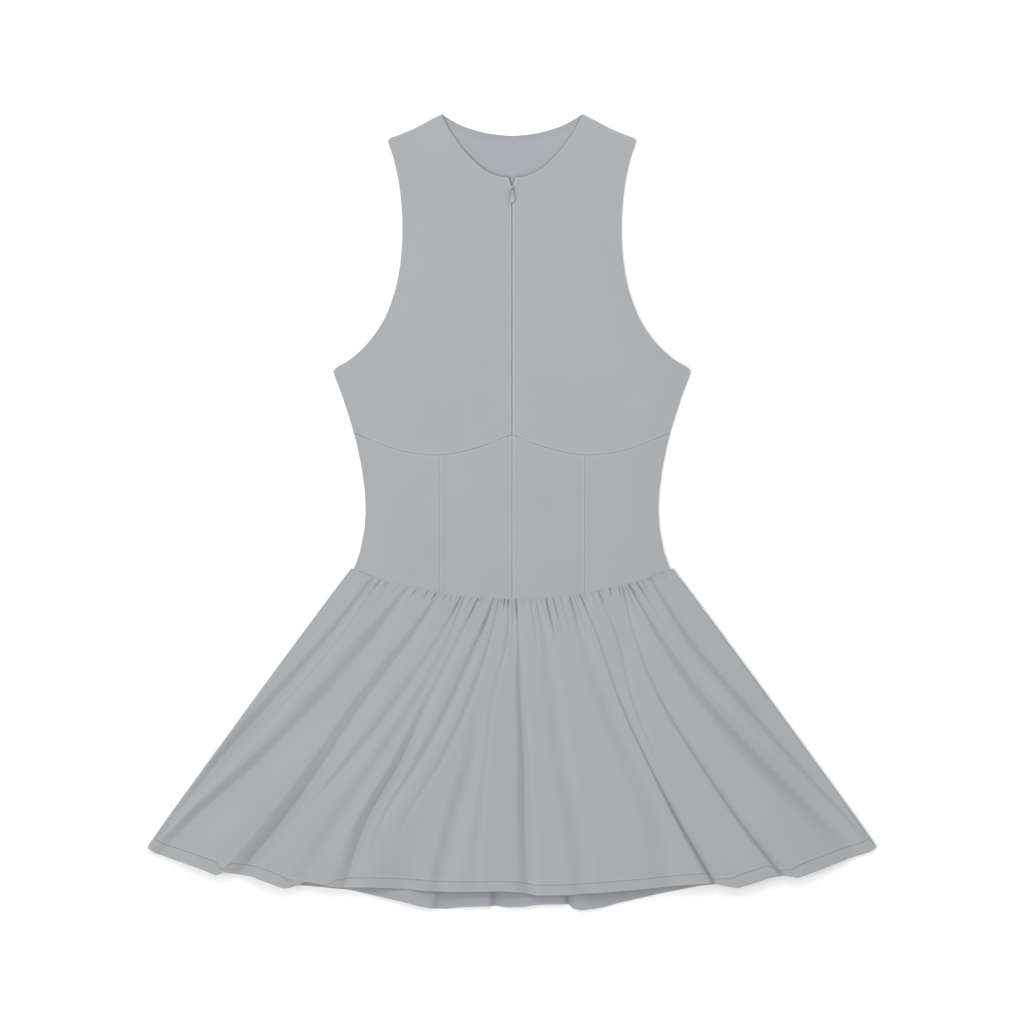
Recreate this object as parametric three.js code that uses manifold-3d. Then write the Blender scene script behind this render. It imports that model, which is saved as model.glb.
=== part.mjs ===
// A sleeveless zip dress, laid flat with its front up.
// Millimetres, +Z up. The neck points along +Y, and the wearer's left lies on +X.
// The origin is on the surface that the dress lies on, under the middle of its outline.

import * as THREE from "three";
import { mergeVertices } from "three/addons/utils/BufferGeometryUtils.js";
import Module from "manifold-3d";

const wasm = await Module();
wasm.setup();

// Cloth and layers
const clothThickness = 1;
const seamGap = 0.3; // between neighbouring pieces
const halfGap = seamGap / 2;
const frontRest = clothThickness + seamGap; // the lowest that the front's inner face lies
const steepestThickening = 1.7; // keeps a sloping wall as thick as a level one

// Bodice and midriff
const underarmHalf = 188.3;
const underarmHeight = 148.4;
const panelSeamAcross = 76.7; // the seams between centre and side panels of the midriff
const channelWidth = 5.2; // the boning channel beside each of those seams
const channelRise = 0.6;
const channelSlope = 1.2;
const bodyFullness = 2.2; // how far the front rises over the back
const bodyFullnessRun = 30; // from the side seam to the full rise
const fullnessEndsFrom = 250; // above this height the rise dies away to the shoulder
const fullnessEndsOver = 130;

// Zip
const zipTopHeight = 353;
const zipTopHalf = 3.4; // half of the parting at the neckline
const zipPartingHeight = 344.6; // above this the two edges part
const zipNotchFoot = 338; // the edges meet again below the slider
const zipNotchHalf = 0.95;
const zipCoilWidth = 2.2;
const zipCoilThickness = 1.2;
const zipLift = zipCoilThickness + seamGap; // how far the coil lifts the front's edges
const zipLiftRun = 12;
const zipLiftCrest = 5; // the front lies on the coil as far out as this

// Slider and pull tab
const hingeHeight = 341.3; // the pull tab's axis, along the dress
const deckLength = 6.2;
const deckWidth = 4.6;
const deckThickness = 0.5;
const deckUnder = frontRest + zipLift + clothThickness + seamGap;
const deckTop = deckUnder + deckThickness;
const neckWidth = 1.2;
const neckLength = 4.4;
const bridgeWidth = 1.1;
const bridgeInner = 0.95;
const bridgeOuter = 1.75;
const tabThickness = 1;
const tabLift = 0.9; // from the deck to the hinge axis
const hingeUp = deckTop + tabLift;
const tabBar = 0.5; // from the hinge axis to the tab's end and to its window
const tabWindowEnd = 2.05;
const tabWindowHalf = 0.85;

// Skirt
const skirtTopHalf = 169;
const skirtTopSide = -59.5;
const skirtHemHalf = 384.3;
const skirtHemSide = -352.7;
const skirtMiddleHalf = (skirtTopHalf + skirtHemHalf) / 2; // the sides are straight
const skirtLength = 310; // from the seam to the hem, at the centre
const skirtEdgeRound = 16; // from the side edge to the full rise
const backHemLiftFrom = 0.78; // share of the way down at which the back hem's folds start
const backSeamSteps = 16; // along each half of the seam between the back's two pieces
const foldSpacing = 9.5; // between the columns of the skirt below its gathers
const gatherCount = 49;
const gatherHeight = 1.25;
const gatherFades = 62; // the longest gathers reach this far below the seam

// Turns a short table into rows with named values.
function table(columns, rows) {
  return rows.map((row) => Object.fromEntries(columns.map((name, i) => [name, row[i]])));
}

// Outlines, each given as half of the dress: across from the centre line, and up
const backNeckline = table(["across", "up"], [
  [0, 396.7],
  [20, 398.5],
  [38, 402.5],
  [54, 408],
  [66, 414.5],
  [74, 419.6],
]);
const frontNeckline = table(["across", "up"], [
  [zipTopHalf, zipTopHeight],
  [15, 355],
  [28, 361],
  [40, 371],
  [52, 384],
  [64, 401],
  [74, 419.6],
]);
const shoulder = table(["across", "up"], [
  [74, 419.6],
  [88, 412.5],
  [105, 403.5],
  [122, 396.7],
  [128.3, 394.3],
  [130.9, 391.4],
]);
const armholeUpper = table(["across", "up"], [
  [130.9, 391.4],
  [129, 385.5],
  [124.2, 371],
  [118.5, 343],
  [115.6, 312],
]);
const armholeLower = table(["across", "up"], [
  [115.6, 312],
  [115.7, 285],
  [118.3, 258],
  [124.1, 231],
  [135, 203],
  [151, 179.5],
  [169.3, 162],
  [184.5, 152.8],
  [underarmHalf, underarmHeight],
]);
const sideSeam = table(["across", "up"], [
  [underarmHalf, underarmHeight],
  [186.6, 143],
  [179, 123],
  [170.7, 97.5],
  [163.6, 72.5],
  [158.4, 47],
  [155, 22],
  [154.2, 3],
  [155.2, -16],
  [160, -41.5],
  [166.5, skirtTopSide],
]);
const underBustSeam = table(["across", "up"], [
  [0, 81],
  [8, 79],
  [23, 72.5],
  [43.5, 66],
  [64, 61.5],
  [76.7, 60.3],
  [95, 61],
  [120, 65.5],
  [146, 75],
  [168, 84],
]);
const skirtSeam = table(["across", "up"], [
  [0, -91],
  [20, -91],
  [40, -89.5],
  [60, -87],
  [76.7, -84.5],
  [97, -80.5],
  [117, -76.5],
  [141, -70],
  [160, -63],
  [skirtTopHalf, skirtTopSide],
]);

// The whole hem of each layer, from the wearer's right to their left
const frontHem = table(["across", "up"], [
  [-skirtHemHalf, skirtHemSide],
  [-375, -359.5],
  [-324.5, -378],
  [-311, -382.5],
  [-302.5, -379],
  [-287, -383.5],
  [-274, -385],
  [-240, -396],
  [-214.5, -391.5],
  [-181, -397],
  [-140, -398],
  [-80, -402],
  [-30, -400],
  [-12, -398.5],
  [6, -400],
  [25, -404],
  [58.5, -403.5],
  [118.5, -399],
  [171.5, -393.5],
  [208, -391],
  [237, -396],
  [258, -390.5],
  [283, -383],
  [300, -385.5],
  [317, -381],
  [351, -368],
  [376, -358.5],
  [skirtHemHalf, skirtHemSide],
]);
const backHem = table(["across", "up", "lift"], [
  [-383.5, -352, 0],
  [-345, -367, 0],
  [-290, -380, 0],
  [-240, -392, 0],
  [-172.5, -397.5, 0],
  [-147, -404, 3],
  [-113.5, -412, 5],
  [-96.5, -416.5, 5.5],
  [-84, -418, 5],
  [-78, -418, 1],
  [-68, -418.5, 0],
  [-56, -416.5, 2.5],
  [-34, -415.5, 4],
  [-22, -415, 3.5],
  [-18, -415, 0],
  [-8, -416.5, 2],
  [12, -416.5, 4.5],
  [36, -414, 4],
  [56, -413.5, 2.5],
  [60.5, -413.5, 0],
  [64.5, -418.5, 3.5],
  [74, -419.5, 5.5],
  [93.5, -417, 5],
  [114.5, -411.5, 3.5],
  [156.5, -402, 1],
  [199, -394, 0],
  [245, -390, 0],
  [300, -381, 0],
  [345, -367, 0],
  [383.5, -352, 0],
]);

// Skirt folds. Each is a trough that runs from the seam to the hem: where it lies across the
// dress at the seam, halfway and at the hem, how deep it is there, and how far its two slopes
// reach to the wearer's right and left.
const foldColumns = [
  "seam", "middle", "hem", "seamDepth", "middleDepth", "hemDepth", "rightReach", "leftReach",
];
const folds = table(foldColumns, [
  [-145, -267.5, -381, 1.5, 3, 0, 7, 7],
  [-132.5, -251.5, -377, 1, 1.5, 0, 5, 5],
  [-109, -241, -371, 2.5, 5, 3, 13, 11],
  [-80.5, -186, -286, 2.5, 4.5, 6, 12, 9],
  [-56.5, -154.5, -257, 1.5, 3, 2, 13, 13],
  [-35.5, -111, -181, 2.5, 4.5, 6.5, 8, 15],
  [-20.5, -88, -163, 2, 3, 2, 9, 9],
  [-12, -67, -147, 1.5, 2.5, 1, 7, 7],
  [-6, -39.5, -75.5, 0, 3, 5, 13, 13],
  [-1, -29, -39.5, 0, 1, 1.5, 10, 10],
  [6, 11, 15.5, 2.5, 4, 6, 7, 15],
  [35.5, 44, 63, 2, 2, 2, 15, 15],
  [60.5, 114.5, 172.5, 1.5, 2.5, 1.5, 11, 11],
  [72.5, 131.5, 209.5, 2.5, 6, 8, 8, 13],
  [93.5, 151.5, 236, 2.5, 0, 0, 7, 7],
  [114.5, 178, 282, 2.5, 4, 7, 7, 12],
  [123, 219, 338, 1.5, 4.5, 2, 15, 15],
  [135.5, 242, 353, 1.5, 1.5, 0, 5, 5],
  [151.5, 256, 368.5, 1.5, 3, 1, 7, 7],
]);
const skirtEdges = table(["seam", "middle", "hem"], [
  [-skirtTopHalf, -skirtMiddleHalf, -skirtHemHalf],
  [skirtTopHalf, skirtMiddleHalf, skirtHemHalf],
]);
// How far the front of the skirt stands over its back, down from the seam (0) to the hem (1)
const skirtRise = table(["down", "rise"], [
  [0, 2.9],
  [0.15, 5],
  [0.5, 9],
  [0.85, 11.5],
  [1, 12],
]);
const gatherRows = [0, 7, 17, 32]; // below the seam
const skirtBackRows = [0.35, 0.7, 0.84, 0.92, 1];
const skirtRows = [0.19, 0.28, 0.38, 0.48, 0.58, 0.68, 0.78, 0.87, 0.94, 1];

function smooth(amount) {
  return THREE.MathUtils.smoothstep(amount, 0, 1);
}

// The value of a table's curve at a place along it, with slopes taken from the neighbours.
function along(rows, from, to, place) {
  const last = rows.length - 1;
  const inside = THREE.MathUtils.clamp(place, rows[0][from], rows[last][from]);
  const next = Math.max(1, rows.findIndex((row) => row[from] >= inside));
  const slopeAt = (i) => {
    const before = rows[Math.max(0, i - 1)];
    const after = rows[Math.min(last, i + 1)];
    return (after[to] - before[to]) / (after[from] - before[from]);
  };
  const span = rows[next][from] - rows[next - 1][from];
  const t = (inside - rows[next - 1][from]) / span;
  const start = rows[next - 1][to] * (1 + 2 * t) * (1 - t) ** 2;
  const end = rows[next][to] * t * t * (3 - 2 * t);
  const bends = slopeAt(next - 1) * t * (1 - t) ** 2 - slopeAt(next) * t * t * (1 - t);
  return start + end + bends * span;
}

// The same between straight lines, for outlines with sharp turns.
function alongStraight(rows, from, to, place) {
  const last = rows.length - 1;
  const inside = THREE.MathUtils.clamp(place, rows[0][from], rows[last][from]);
  const next = Math.max(1, rows.findIndex((row) => row[from] >= inside));
  const before = rows[next - 1];
  const t = (inside - before[from]) / (rows[next][from] - before[from]);
  return THREE.MathUtils.lerp(before[to], rows[next][to], t);
}

// Points spaced evenly along the curve through a table's rows.
function spaced(rows, count) {
  const curve = new THREE.SplineCurve(rows.map((row) => new THREE.Vector2(row.across, row.up)));
  return curve.getSpacedPoints(count);
}

// A closed wall of cloth from rows of points, each with its inner and outer height. Rows run
// from the neck end to the hem end, and their points from the wearer's right to their left.
// Neighbouring rows may have different numbers of points.
function clothWall(rows) {
  const starts = [];
  const points = [];
  for (const row of rows) {
    starts.push(points.length);
    points.push(...row);
  }
  const count = points.length;
  const positions = [
    ...points.flatMap((p) => [p.x, p.y, p.outer]),
    ...points.flatMap((p) => [p.x, p.y, p.inner]),
  ];
  const faces = [];
  const face = (a, b, c) => faces.push(a, b, c, a + count, c + count, b + count);
  for (let r = 0; r + 1 < rows.length; r += 1) {
    stitch(rows[r], rows[r + 1], starts[r], starts[r + 1], face);
  }
  const lastOf = (r) => starts[r] + rows[r].length - 1;
  const end = rows.length - 1;
  const rim = [
    ...rows[end].map((p, i) => starts[end] + i),
    ...rows.map((row, r) => lastOf(end - r)).slice(1),
    ...rows[0].map((p, i) => lastOf(0) - i).slice(1),
    ...rows.map((row, r) => starts[r]).slice(1, -1),
  ];
  rim.forEach((a, i) => {
    const b = rim[(i + 1) % rim.length];
    faces.push(a, a + count, b + count, a, b + count, b);
  });
  const geometry = new THREE.BufferGeometry();
  geometry.setAttribute("position", new THREE.Float32BufferAttribute(positions, 3));
  geometry.setIndex(faces);
  return geometry;
}

// Joins two rows by triangles, always stepping along the row that lags behind.
function stitch(upper, lower, upperStart, lowerStart, face) {
  let i = 0;
  let j = 0;
  while (i < upper.length - 1 || j < lower.length - 1) {
    const upperNext = i < upper.length - 1 ? upper[i + 1].w : Infinity;
    const lowerNext = j < lower.length - 1 ? lower[j + 1].w : Infinity;
    if (upperNext <= lowerNext) {
      face(upperStart + i, lowerStart + j, upperStart + i + 1);
      i += 1;
    } else {
      face(upperStart + i, lowerStart + j, lowerStart + j + 1);
      j += 1;
    }
  }
}

// Fills the space between four edges with rows of points. The first two edges run down the
// panel, at its centre side and at its outer side. The last two run from one to the other.
function panelPoints(centreEdge, outerEdge, topEdge, bottomEdge) {
  const down = centreEdge.length - 1;
  const across = topEdge.length - 1;
  return centreEdge.map((centre, r) => topEdge.map((top, c) => {
    const v = r / down;
    const s = c / across;
    const sides = centre.clone().lerp(outerEdge[r], s);
    const ends = top.clone().lerp(bottomEdge[c], v);
    const corners = topEdge[0].clone().lerp(topEdge[across], s)
      .lerp(bottomEdge[0].clone().lerp(bottomEdge[across], s), v);
    return sides.add(ends).sub(corners);
  }));
}

// How far across the outline reaches at a height, above the skirt.
const outline = [...armholeUpper, ...armholeLower.slice(1), ...sideSeam.slice(1)].reverse();
function halfWidthAt(up) {
  return alongStraight(outline, "up", "across", up);
}

// The front's inner face: it rises from the side seams, and lies on the zip in the middle.
function frontInner(point) {
  const fromSide = halfWidthAt(point.y) - Math.abs(point.x);
  const fading = 1 - smooth((point.y - fullnessEndsFrom) / fullnessEndsOver);
  const fullness = bodyFullness * smooth(fromSide / bodyFullnessRun) * fading;
  const onZip = zipLift * (1 - smooth((Math.abs(point.x) - zipLiftCrest) / zipLiftRun));
  return frontRest + Math.max(fullness, point.y > 0 ? onZip : 0);
}

// A front panel for one side of the dress: side is 1 for the wearer's left and -1 for the right.
function frontPanel(rows, side, riseAt = () => 0) {
  return clothWall(rows.map((row) => {
    const wallRow = row.map((point, i) => {
      const inner = frontInner(point);
      const outer = inner + clothThickness + riseAt(point);
      return { x: side * point.x, y: point.y, inner, outer, w: (side * i) / row.length };
    });
    return side > 0 ? wallRow : wallRow.reverse();
  }));
}

// Half of the parting between the front's edges. It opens for the slider and to the neckline.
function partingAt(up) {
  if (up >= zipPartingHeight) {
    const opening = (up - zipPartingHeight) / (zipTopHeight - zipPartingHeight);
    return THREE.MathUtils.lerp(zipNotchHalf, zipTopHalf, opening);
  }
  return up > zipNotchFoot ? zipNotchHalf : halfGap;
}

const zipEdgeHeights = [
  zipTopHeight, zipPartingHeight, zipNotchFoot + seamGap, zipNotchFoot, 310, 280, 250, 215, 180,
];
const lowerZipEdgeHeights = [155, 130, 105, 81 + halfGap];

function bodiceFront(side) {
  const neckRows = 6;
  const chestRows = zipEdgeHeights.length - 1;
  const columns = 8;
  const zipEdge = [...zipEdgeHeights, ...lowerZipEdgeHeights]
    .map((up) => new THREE.Vector2(partingAt(up), up));
  const centreEdge = [...spaced(frontNeckline, neckRows).reverse(), ...zipEdge.slice(1)];
  const sideEdge = spaced(sideSeam, 80).filter((p) => p.y > underBustAt(p.x) + halfGap);
  const outerEdge = [
    ...spaced(armholeUpper, neckRows),
    ...spaced(armholeLower, chestRows).slice(1),
    ...thinned(sideEdge, lowerZipEdgeHeights.length).slice(1),
  ];
  const last = outerEdge[outerEdge.length - 1];
  const bottomEdge = spread(halfGap, last.x, columns)
    .map((x) => new THREE.Vector2(x, underBustAt(x) + halfGap));
  const rows = panelPoints(centreEdge, outerEdge, spaced(shoulder, columns), bottomEdge);
  return frontPanel(rows, side);
}

function underBustAt(across) {
  return along(underBustSeam, "across", "up", across);
}

function skirtSeamAt(across) {
  return along(skirtSeam, "across", "up", Math.abs(across));
}

// Even steps from one value to another.
function spread(from, to, steps) {
  return Array.from({ length: steps + 1 }, (_, i) => THREE.MathUtils.lerp(from, to, i / steps));
}

// A few of a line's points: the first, the last and even steps between.
function thinned(points, steps) {
  return spread(0, points.length - 1, steps).map((i) => points[Math.round(i)]);
}

// A midriff panel between two lines that run from the under-bust seam to the skirt seam.
function midriffPanel(side, centreAt, outerAt, columns, riseAt) {
  const downRows = 7;
  const meeting = (seamAt, lineAt) => seamAt(lineAt(seamAt(lineAt(0))));
  const edge = (lineAt) => {
    const top = meeting(underBustAt, lineAt) - halfGap;
    const bottom = meeting(skirtSeamAt, lineAt) + halfGap;
    return spread(top, bottom, downRows).map((up) => new THREE.Vector2(lineAt(up), up));
  };
  const centreEdge = edge(centreAt);
  const outerEdge = edge(outerAt);
  const topFrom = centreEdge[0].x;
  const topTo = outerEdge[0].x;
  const bottomFrom = centreEdge[downRows].x;
  const bottomTo = outerEdge[downRows].x;
  const topEdge = columns
    .map((s) => THREE.MathUtils.lerp(topFrom, topTo, s))
    .map((x) => new THREE.Vector2(x, underBustAt(x) - halfGap));
  const bottomEdge = columns
    .map((s) => THREE.MathUtils.lerp(bottomFrom, bottomTo, s))
    .map((x) => new THREE.Vector2(x, skirtSeamAt(x) + halfGap));
  return frontPanel(panelPoints(centreEdge, outerEdge, topEdge, bottomEdge), side, riseAt);
}

// Across the skirt, w runs from 0 at the wearer's right to 1 at their left, and a fold keeps its
// w from the seam to the hem.
const foldLines = [skirtEdges[0], ...folds, skirtEdges[1]].map((row) => ({
  ...row,
  w: (row.seam + skirtTopHalf) / (2 * skirtTopHalf),
}));

function acrossAt(w, down) {
  const seam = alongStraight(foldLines, "w", "seam", w);
  const middle = alongStraight(foldLines, "w", "middle", w);
  const hem = alongStraight(foldLines, "w", "hem", w);
  return seam * (1 - down) * (1 - 2 * down) + middle * 4 * down * (1 - down)
    + hem * down * (2 * down - 1);
}

// The small gathers along the skirt seam, uneven in width and length.
function gatherAt(w, below) {
  const turn = gatherCount * w + 0.3 * Math.sin(31 * w) + 0.25 * Math.sin(83 * w);
  const length = gatherFades * (0.62 + 0.38 * Math.sin(23 * w + 1));
  const grows = 0.45 + 0.55 * smooth(below / gatherRows[1]);
  const fades = 1 - smooth(below / length);
  const size = gatherHeight * (0.8 + 0.2 * Math.sin(57 * w));
  return size * grows * fades * Math.cos(2 * Math.PI * turn);
}

function depthAt(fold, down) {
  return down < 0.5
    ? THREE.MathUtils.lerp(fold.seamDepth, fold.middleDepth, 2 * down)
    : THREE.MathUtils.lerp(fold.middleDepth, fold.hemDepth, 2 * down - 1);
}

// The inner face of the skirt's front: a rounded rise, less the folds, plus the gathers.
function skirtInner(w, down) {
  const across = acrossAt(w, down);
  const fromSide = Math.min(across - acrossAt(0, down), acrossAt(1, down) - across);
  const rise = alongStraight(skirtRise, "down", "rise", down) * smooth(fromSide / skirtEdgeRound);
  const widening = 0.5 + down;
  let trough = 0;
  for (const fold of foldLines.slice(1, -1)) {
    const off = across - acrossAt(fold.w, down);
    const reach = (off < 0 ? fold.rightReach : fold.leftReach) * widening;
    const share = Math.min(1, Math.abs(off) / reach);
    trough = Math.max(trough, depthAt(fold, down) * (1 - share * share) ** 2);
  }
  return frontRest + Math.max(0, rise - trough + gatherAt(w, down * skirtLength));
}

// A point of the skirt's front, as a share of the way down from its seam to its hem.
function skirtPoint(w, down) {
  const x = acrossAt(w, down);
  const top = skirtSeamAt(acrossAt(w, 0)) - halfGap;
  const bottom = alongStraight(frontHem, "across", "up", acrossAt(w, 1));
  return { x, y: THREE.MathUtils.lerp(top, bottom, down), inner: skirtInner(w, down), w };
}

// Gives each point of a row its outer height, so that the wall is as thick where it slopes.
function thickened(row) {
  return row.map((point, i) => {
    const before = row[Math.max(0, i - 1)];
    const after = row[Math.min(row.length - 1, i + 1)];
    const slope = (after.inner - before.inner) / (after.x - before.x);
    const thicker = Math.min(steepestThickening, Math.hypot(1, slope));
    return { ...point, outer: point.inner + clothThickness * thicker };
  });
}

function skirtFront() {
  const gatherColumns = spread(0, 1, 4 * gatherCount);
  const foldColumnsAcross = foldLines.slice(1).flatMap((line, i) => {
    const before = foldLines[i];
    const steps = Math.max(1, Math.round((line.middle - before.middle) / foldSpacing));
    return spread(before.w, line.w, steps).slice(1);
  });
  const upperRows = gatherRows
    .map((below) => gatherColumns.map((w) => skirtPoint(w, below / skirtLength)));
  const lowerRows = skirtRows
    .map((down) => [0, ...foldColumnsAcross].map((w) => skirtPoint(w, down)));
  return clothWall([...upperRows, ...lowerRows].map(thickened));
}

// The skirt's back lies flat, and its hem shows below the front in a few low folds.
function skirtBack() {
  const seamRow = spread(-skirtTopHalf, skirtTopHalf, 2 * backSeamSteps).map((x) => ({
    x,
    y: skirtSeamAt(x) - halfGap,
    inner: 0,
    w: (x / skirtTopHalf) * skirtHemHalf,
  }));
  const rows = skirtBackRows.map((down) => backHem.map((hem) => {
    const seamAcross = (hem.across / skirtHemHalf) * skirtTopHalf;
    return {
      x: THREE.MathUtils.lerp(seamAcross, hem.across, down),
      y: THREE.MathUtils.lerp(skirtSeamAt(seamAcross) - halfGap, hem.up, down),
      inner: hem.lift * smooth((down - backHemLiftFrom) / (1 - backHemLiftFrom)),
      w: hem.across,
    };
  }));
  return clothWall([seamRow, ...rows].map(thickened));
}

// A flat plate of even thickness whose outline is a list of points.
function plate(points, thickness, holes = []) {
  const shape = new THREE.Shape(points);
  shape.holes = holes.map((hole) => new THREE.Path(hole));
  return new THREE.ExtrudeGeometry(shape, { depth: thickness, bevelEnabled: false });
}

function mirrored(points) {
  return points.map((p) => new THREE.Vector2(-p.x, p.y)).reverse();
}

function bodiceBack() {
  const rightHalf = [
    ...spread(0, sideSeam[sideSeam.length - 1].across, backSeamSteps)
      .map((x) => new THREE.Vector2(x, skirtSeamAt(x) + halfGap)),
    ...spaced(sideSeam, 14).reverse().slice(1, -1),
    ...spaced(armholeLower, 12).reverse().slice(0, -1),
    ...spaced(armholeUpper, 5).reverse().slice(0, -1),
    ...spaced(shoulder, 5).reverse().slice(0, -1),
    ...spaced(backNeckline, 8).reverse(),
  ];
  return plate([...rightHalf, ...mirrored(rightHalf).slice(1, -1)], clothThickness);
}

// One side of the zip: its coil lies under the front's edge. Above the slider it parts from the
// other side and shows in the opening.
function zipCoil(side) {
  const rows = [...zipEdgeHeights, ...lowerZipEdgeHeights].map((up) => {
    const parting = partingAt(up);
    const near = up > zipPartingHeight ? (parting + zipNotchHalf) / 2 : parting;
    return [near, near + zipCoilWidth].map((x) => new THREE.Vector2(x, up));
  });
  return clothWall(rows.map((row) => {
    const wallRow = row.map((point, i) => ({
      x: side * point.x,
      y: point.y,
      inner: frontRest,
      outer: frontRest + zipCoilThickness,
      w: side * i,
    }));
    return side > 0 ? wallRow : wallRow.reverse();
  }));
}

function solidOf(geometry) {
  const bare = geometry.clone();
  bare.deleteAttribute("normal");
  bare.deleteAttribute("uv");
  const merged = mergeVertices(bare, 1e-4);
  return new wasm.Manifold(new wasm.Mesh({
    numProp: 3,
    vertProperties: new Float32Array(merged.attributes.position.array),
    triVerts: new Uint32Array(merged.index.array),
  }));
}

function geometryOf(solid) {
  const mesh = solid.getMesh();
  const geometry = new THREE.BufferGeometry();
  geometry.setAttribute("position", new THREE.Float32BufferAttribute(mesh.vertProperties, 3));
  geometry.setIndex([...mesh.triVerts]);
  return geometry;
}

// The slider: a deck over the front, a neck down through the parting, and the bridge that holds
// the pull tab's bar.
function zipSlider() {
  const deck = new THREE.Shape()
    .absellipse(0, 0, deckWidth / 2, deckLength / 2, 0, 2 * Math.PI)
    .getSpacedPoints(20).slice(1);
  const deckPlate = plate(deck, deckThickness).translate(0, hingeHeight, deckUnder);
  const neckTall = deckUnder - frontRest + deckThickness / 2;
  const neck = new THREE.BoxGeometry(neckWidth, neckLength, neckTall)
    .translate(0, hingeHeight, frontRest + neckTall / 2);
  const footDrop = tabLift + deckThickness / 2;
  const arch = new THREE.Shape();
  arch.moveTo(bridgeOuter, -footDrop);
  arch.absarc(0, 0, bridgeOuter, 0, Math.PI, false);
  arch.lineTo(-bridgeOuter, -footDrop);
  arch.lineTo(-bridgeInner, -footDrop);
  arch.absarc(0, 0, bridgeInner, Math.PI, 0, true);
  arch.lineTo(bridgeInner, -footDrop);
  const bridge = new THREE.ExtrudeGeometry(arch, {
    depth: bridgeWidth,
    bevelEnabled: false,
    curveSegments: 10,
  });
  bridge.translate(0, 0, -bridgeWidth / 2).rotateX(Math.PI / 2).rotateZ(Math.PI / 2);
  bridge.translate(0, hingeHeight, hingeUp);
  return geometryOf(solidOf(deckPlate).add(solidOf(neck)).add(solidOf(bridge)));
}

// The pull tab: a drop-shaped plate with a window for the bridge, its bar on the hinge axis.
function zipPullTab() {
  const half = table(["out", "down"], [
    [1.2, -tabBar],
    [1.6, 0.2],
    [1.6, 2.6],
    [1.75, 5],
    [2.4, 8],
    [2.8, 10.6],
    [2.45, 13.3],
    [1.3, 15.2],
    [0.01, 15.7],
  ]);
  const edge = new THREE.SplineCurve(half.map((row) => new THREE.Vector2(row.out, -row.down)))
    .getPoints(32);
  edge[edge.length - 1].x = 0;
  const outlinePoints = [...edge, ...mirrored(edge).slice(1)];
  const window = [
    [-tabWindowHalf, -tabBar],
    [-tabWindowHalf, -tabWindowEnd],
    [tabWindowHalf, -tabWindowEnd],
    [tabWindowHalf, -tabBar],
  ].map(([x, y]) => new THREE.Vector2(x, y));
  return plate(outlinePoints, tabThickness, [window])
    .translate(0, hingeHeight, hingeUp - tabThickness / 2);
}

const finishes = {
  cloth: { color: "#abb0b4", roughness: 0.9, metalness: 0 },
  clothInside: { color: "#a5a9ad", roughness: 0.9, metalness: 0 },
  coil: { color: "#6d7277", roughness: 0.6, metalness: 0 },
  lacqueredMetal: { color: "#a8adb1", roughness: 0.45, metalness: 0.2 },
};

const dress = new THREE.Group();
function sew(name, geometry, finish) {
  const mesh = new THREE.Mesh(geometry, new THREE.MeshStandardMaterial(finishes[finish]));
  mesh.name = name;
  dress.add(mesh);
}

const channelInner = panelSeamAcross - halfGap - channelWidth;
function channelRiseAt(point) {
  return channelRise * smooth((point.x - channelInner) / channelSlope);
}

sew("bodice_back", bodiceBack(), "clothInside");
sew("skirt_back", skirtBack(), "clothInside");
for (const [word, side] of [["right", -1], ["left", 1]]) {
  sew(`bodice_front_${word}`, bodiceFront(side), "cloth");
  const nearSeam = panelSeamAcross - halfGap;
  const channelFoot = (channelInner - halfGap) / (nearSeam - halfGap);
  const channelCrest = (channelInner + channelSlope - halfGap) / (nearSeam - halfGap);
  const centreColumns = [0, channelFoot / 3, (2 * channelFoot) / 3, channelFoot, channelCrest, 1];
  const centrePanel = midriffPanel(side, () => halfGap, () => nearSeam, centreColumns, channelRiseAt);
  sew(`midriff_centre_${word}`, centrePanel, "cloth");
  const sidePanel = midriffPanel(side, () => panelSeamAcross + halfGap, halfWidthAt, spread(0, 1, 6));
  sew(`midriff_side_${word}`, sidePanel, "cloth");
  sew(`zip_coil_${word}`, zipCoil(side), "coil");
}
sew("skirt_front", skirtFront(), "cloth");
sew("zip_slider", zipSlider(), "lacqueredMetal");
sew("zip_pull_tab", zipPullTab(), "lacqueredMetal");

export default dress;
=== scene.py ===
# Sleeveless zip dress in a blue-grey double knit, laid flat with its front up.
import math
from functools import lru_cache

import bmesh
import bpy
from mathutils import Matrix, Vector, noise
from mathutils.geometry import interpolate_bezier


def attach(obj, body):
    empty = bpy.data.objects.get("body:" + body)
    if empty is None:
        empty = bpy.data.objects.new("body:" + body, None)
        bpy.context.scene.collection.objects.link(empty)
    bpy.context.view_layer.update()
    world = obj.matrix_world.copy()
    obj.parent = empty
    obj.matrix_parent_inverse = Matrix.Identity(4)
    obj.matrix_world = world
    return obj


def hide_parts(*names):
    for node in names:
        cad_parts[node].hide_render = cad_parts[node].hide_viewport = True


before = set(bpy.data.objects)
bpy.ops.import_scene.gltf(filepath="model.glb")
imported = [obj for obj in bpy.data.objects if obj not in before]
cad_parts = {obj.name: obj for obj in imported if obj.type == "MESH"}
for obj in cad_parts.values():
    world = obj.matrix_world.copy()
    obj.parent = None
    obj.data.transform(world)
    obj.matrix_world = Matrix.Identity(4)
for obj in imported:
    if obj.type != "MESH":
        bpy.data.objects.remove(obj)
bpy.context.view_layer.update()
print("frame loaded:", len(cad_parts), "nodes")

mm = 0.001  # sizes below are in millimetres: x to the wearer's left, y up the dress, z off the table
up = Vector((0, 0, 1))


# Curves and spacing

def mix(start, end, share):
    return start + (end - start) * share


def smooth(share):
    share = min(1.0, max(0.0, share))
    return share * share * (3 - 2 * share)


def rowsAround(rows, place):
    place = min(rows[-1][0], max(rows[0][0], place))
    after = next(i for i in range(1, len(rows)) if rows[i][0] >= place)
    return place, after


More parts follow.
